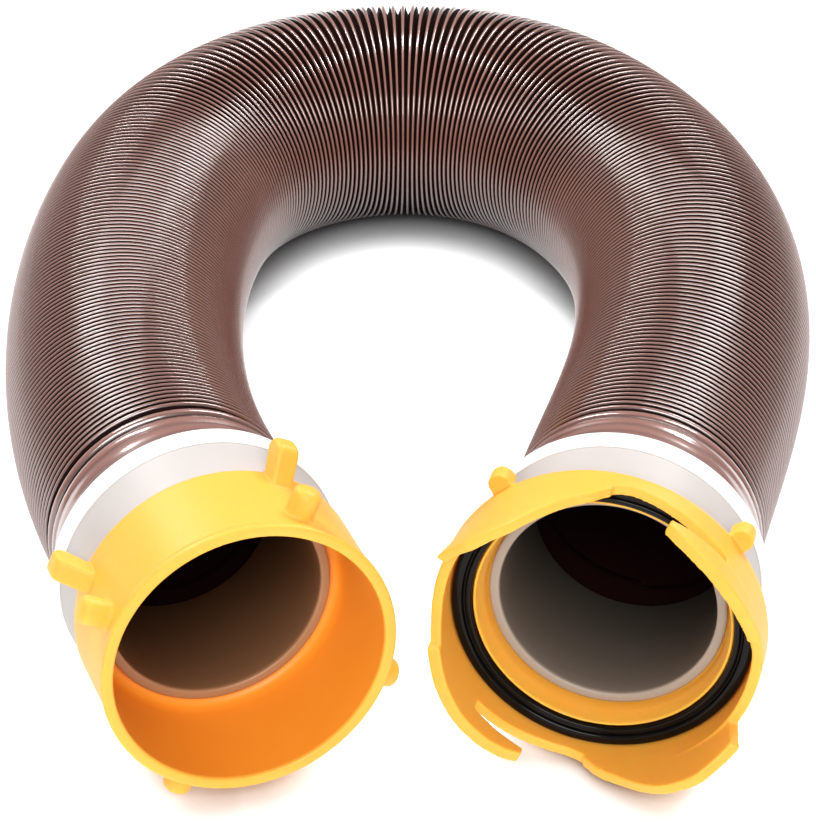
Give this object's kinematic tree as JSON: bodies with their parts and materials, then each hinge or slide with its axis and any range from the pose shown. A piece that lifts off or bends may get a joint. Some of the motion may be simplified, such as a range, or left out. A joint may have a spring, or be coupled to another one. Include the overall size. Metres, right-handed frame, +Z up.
{
  "type": "sewer hose kit",
  "caption": "Compressed corrugated waste hose laid in a U, with a swivelling lug cup on one end and a swivelling bayonet coupling on the other.",
  "frame": {"origin": "middle of the footprint, on the floor the kit lies on", "axes": "+Z up; the two ends of the hose point toward -Y, the back of the U is at +Y, and the lug cup is on the -X leg"},
  "size_m": [0.3118, 0.451, 0.1167],
  "materials": {
    "brown_vinyl": "glossy, slightly translucent vinyl over a steel wire",
    "white_plastic": "satin moulded plastic",
    "grey_plastic": "satin moulded plastic",
    "yellow_plastic": "satin translucent moulded plastic",
    "black_rubber": "glossy rubber"
  },
  "bodies": {
    "crown": {"hose_crown": "brown_vinyl", "hose_bend_left": "brown_vinyl", "hose_bend_right": "brown_vinyl"},
    "left_leg": {"hose_shoulder_left": "brown_vinyl", "hose_stretch_left": "brown_vinyl"},
    "left_shank": {"hose_shank_left": "brown_vinyl", "hose_lift_left": "brown_vinyl"},
    "left_end": {"hose_cuff_left": "brown_vinyl", "hub_left": "grey_plastic", "collar_left": "white_plastic", "swivel_seal_left": "black_rubber"},
    "right_leg": {"hose_shoulder_right": "brown_vinyl", "hose_stretch_right": "brown_vinyl"},
    "right_shank": {"hose_shank_right": "brown_vinyl", "hose_lift_right": "brown_vinyl"},
    "right_end": {"hose_cuff_right": "brown_vinyl", "hub_right": "grey_plastic", "collar_right": "white_plastic", "swivel_seal_right": "black_rubber"},
    "lug_fitting": {"lug_cup": "yellow_plastic"},
    "bayonet_fitting": {"bayonet_ring": "yellow_plastic", "bayonet_gasket": "black_rubber"}
  },
  "joints": [
    {"name": "left_leg_bend", "type": "hinge", "parent": "crown", "child": "left_leg", "pos_m": [-0.08373, 0.13645, 0.0457], "axis": [0, 0, -1], "range_deg": [0, 60], "deforming": ["hose_bend_left"]},
    {"name": "left_leg_stretch", "type": "slide", "parent": "left_leg", "child": "left_shank", "axis": [0, -1, 0], "range_m": [0, 0.2], "deforming": ["hose_stretch_left"]},
    {"name": "left_end_lift", "type": "hinge", "parent": "left_shank", "child": "left_end", "pos_m": [-0.10019, -0.06894, 0.09334], "axis": [-0.9716, -0.2368, 0], "range_deg": [0, 35], "deforming": ["hose_lift_left"]},
    {"name": "lug_swivel", "type": "hinge", "parent": "left_end", "child": "lug_fitting", "pos_m": [-0.0756, -0.14396, 0.0547], "axis": [0.3368, -0.9363, 0.0998], "continuous": true},
    {"name": "right_leg_bend", "type": "hinge", "parent": "crown", "child": "right_leg", "pos_m": [0.07962, 0.13595, 0.0457], "axis": [0, 0, 1], "range_deg": [0, 60], "deforming": ["hose_bend_right"]},
    {"name": "right_leg_stretch", "type": "slide", "parent": "right_leg", "child": "right_shank", "axis": [0, -1, 0], "range_m": [0, 0.2], "deforming": ["hose_stretch_right"]},
    {"name": "right_end_lift", "type": "hinge", "parent": "right_shank", "child": "right_end", "pos_m": [0.09458, -0.06702, 0.09375], "axis": [-0.9657, 0.2598, 0], "range_deg": [0, 35], "deforming": ["hose_lift_right"]},
    {"name": "bayonet_swivel", "type": "hinge", "parent": "right_end", "child": "bayonet_fitting", "pos_m": [0.0737, -0.14631, 0.0554], "axis": [-0.2461, -0.9641, 0.0998], "continuous": true}
  ]
}
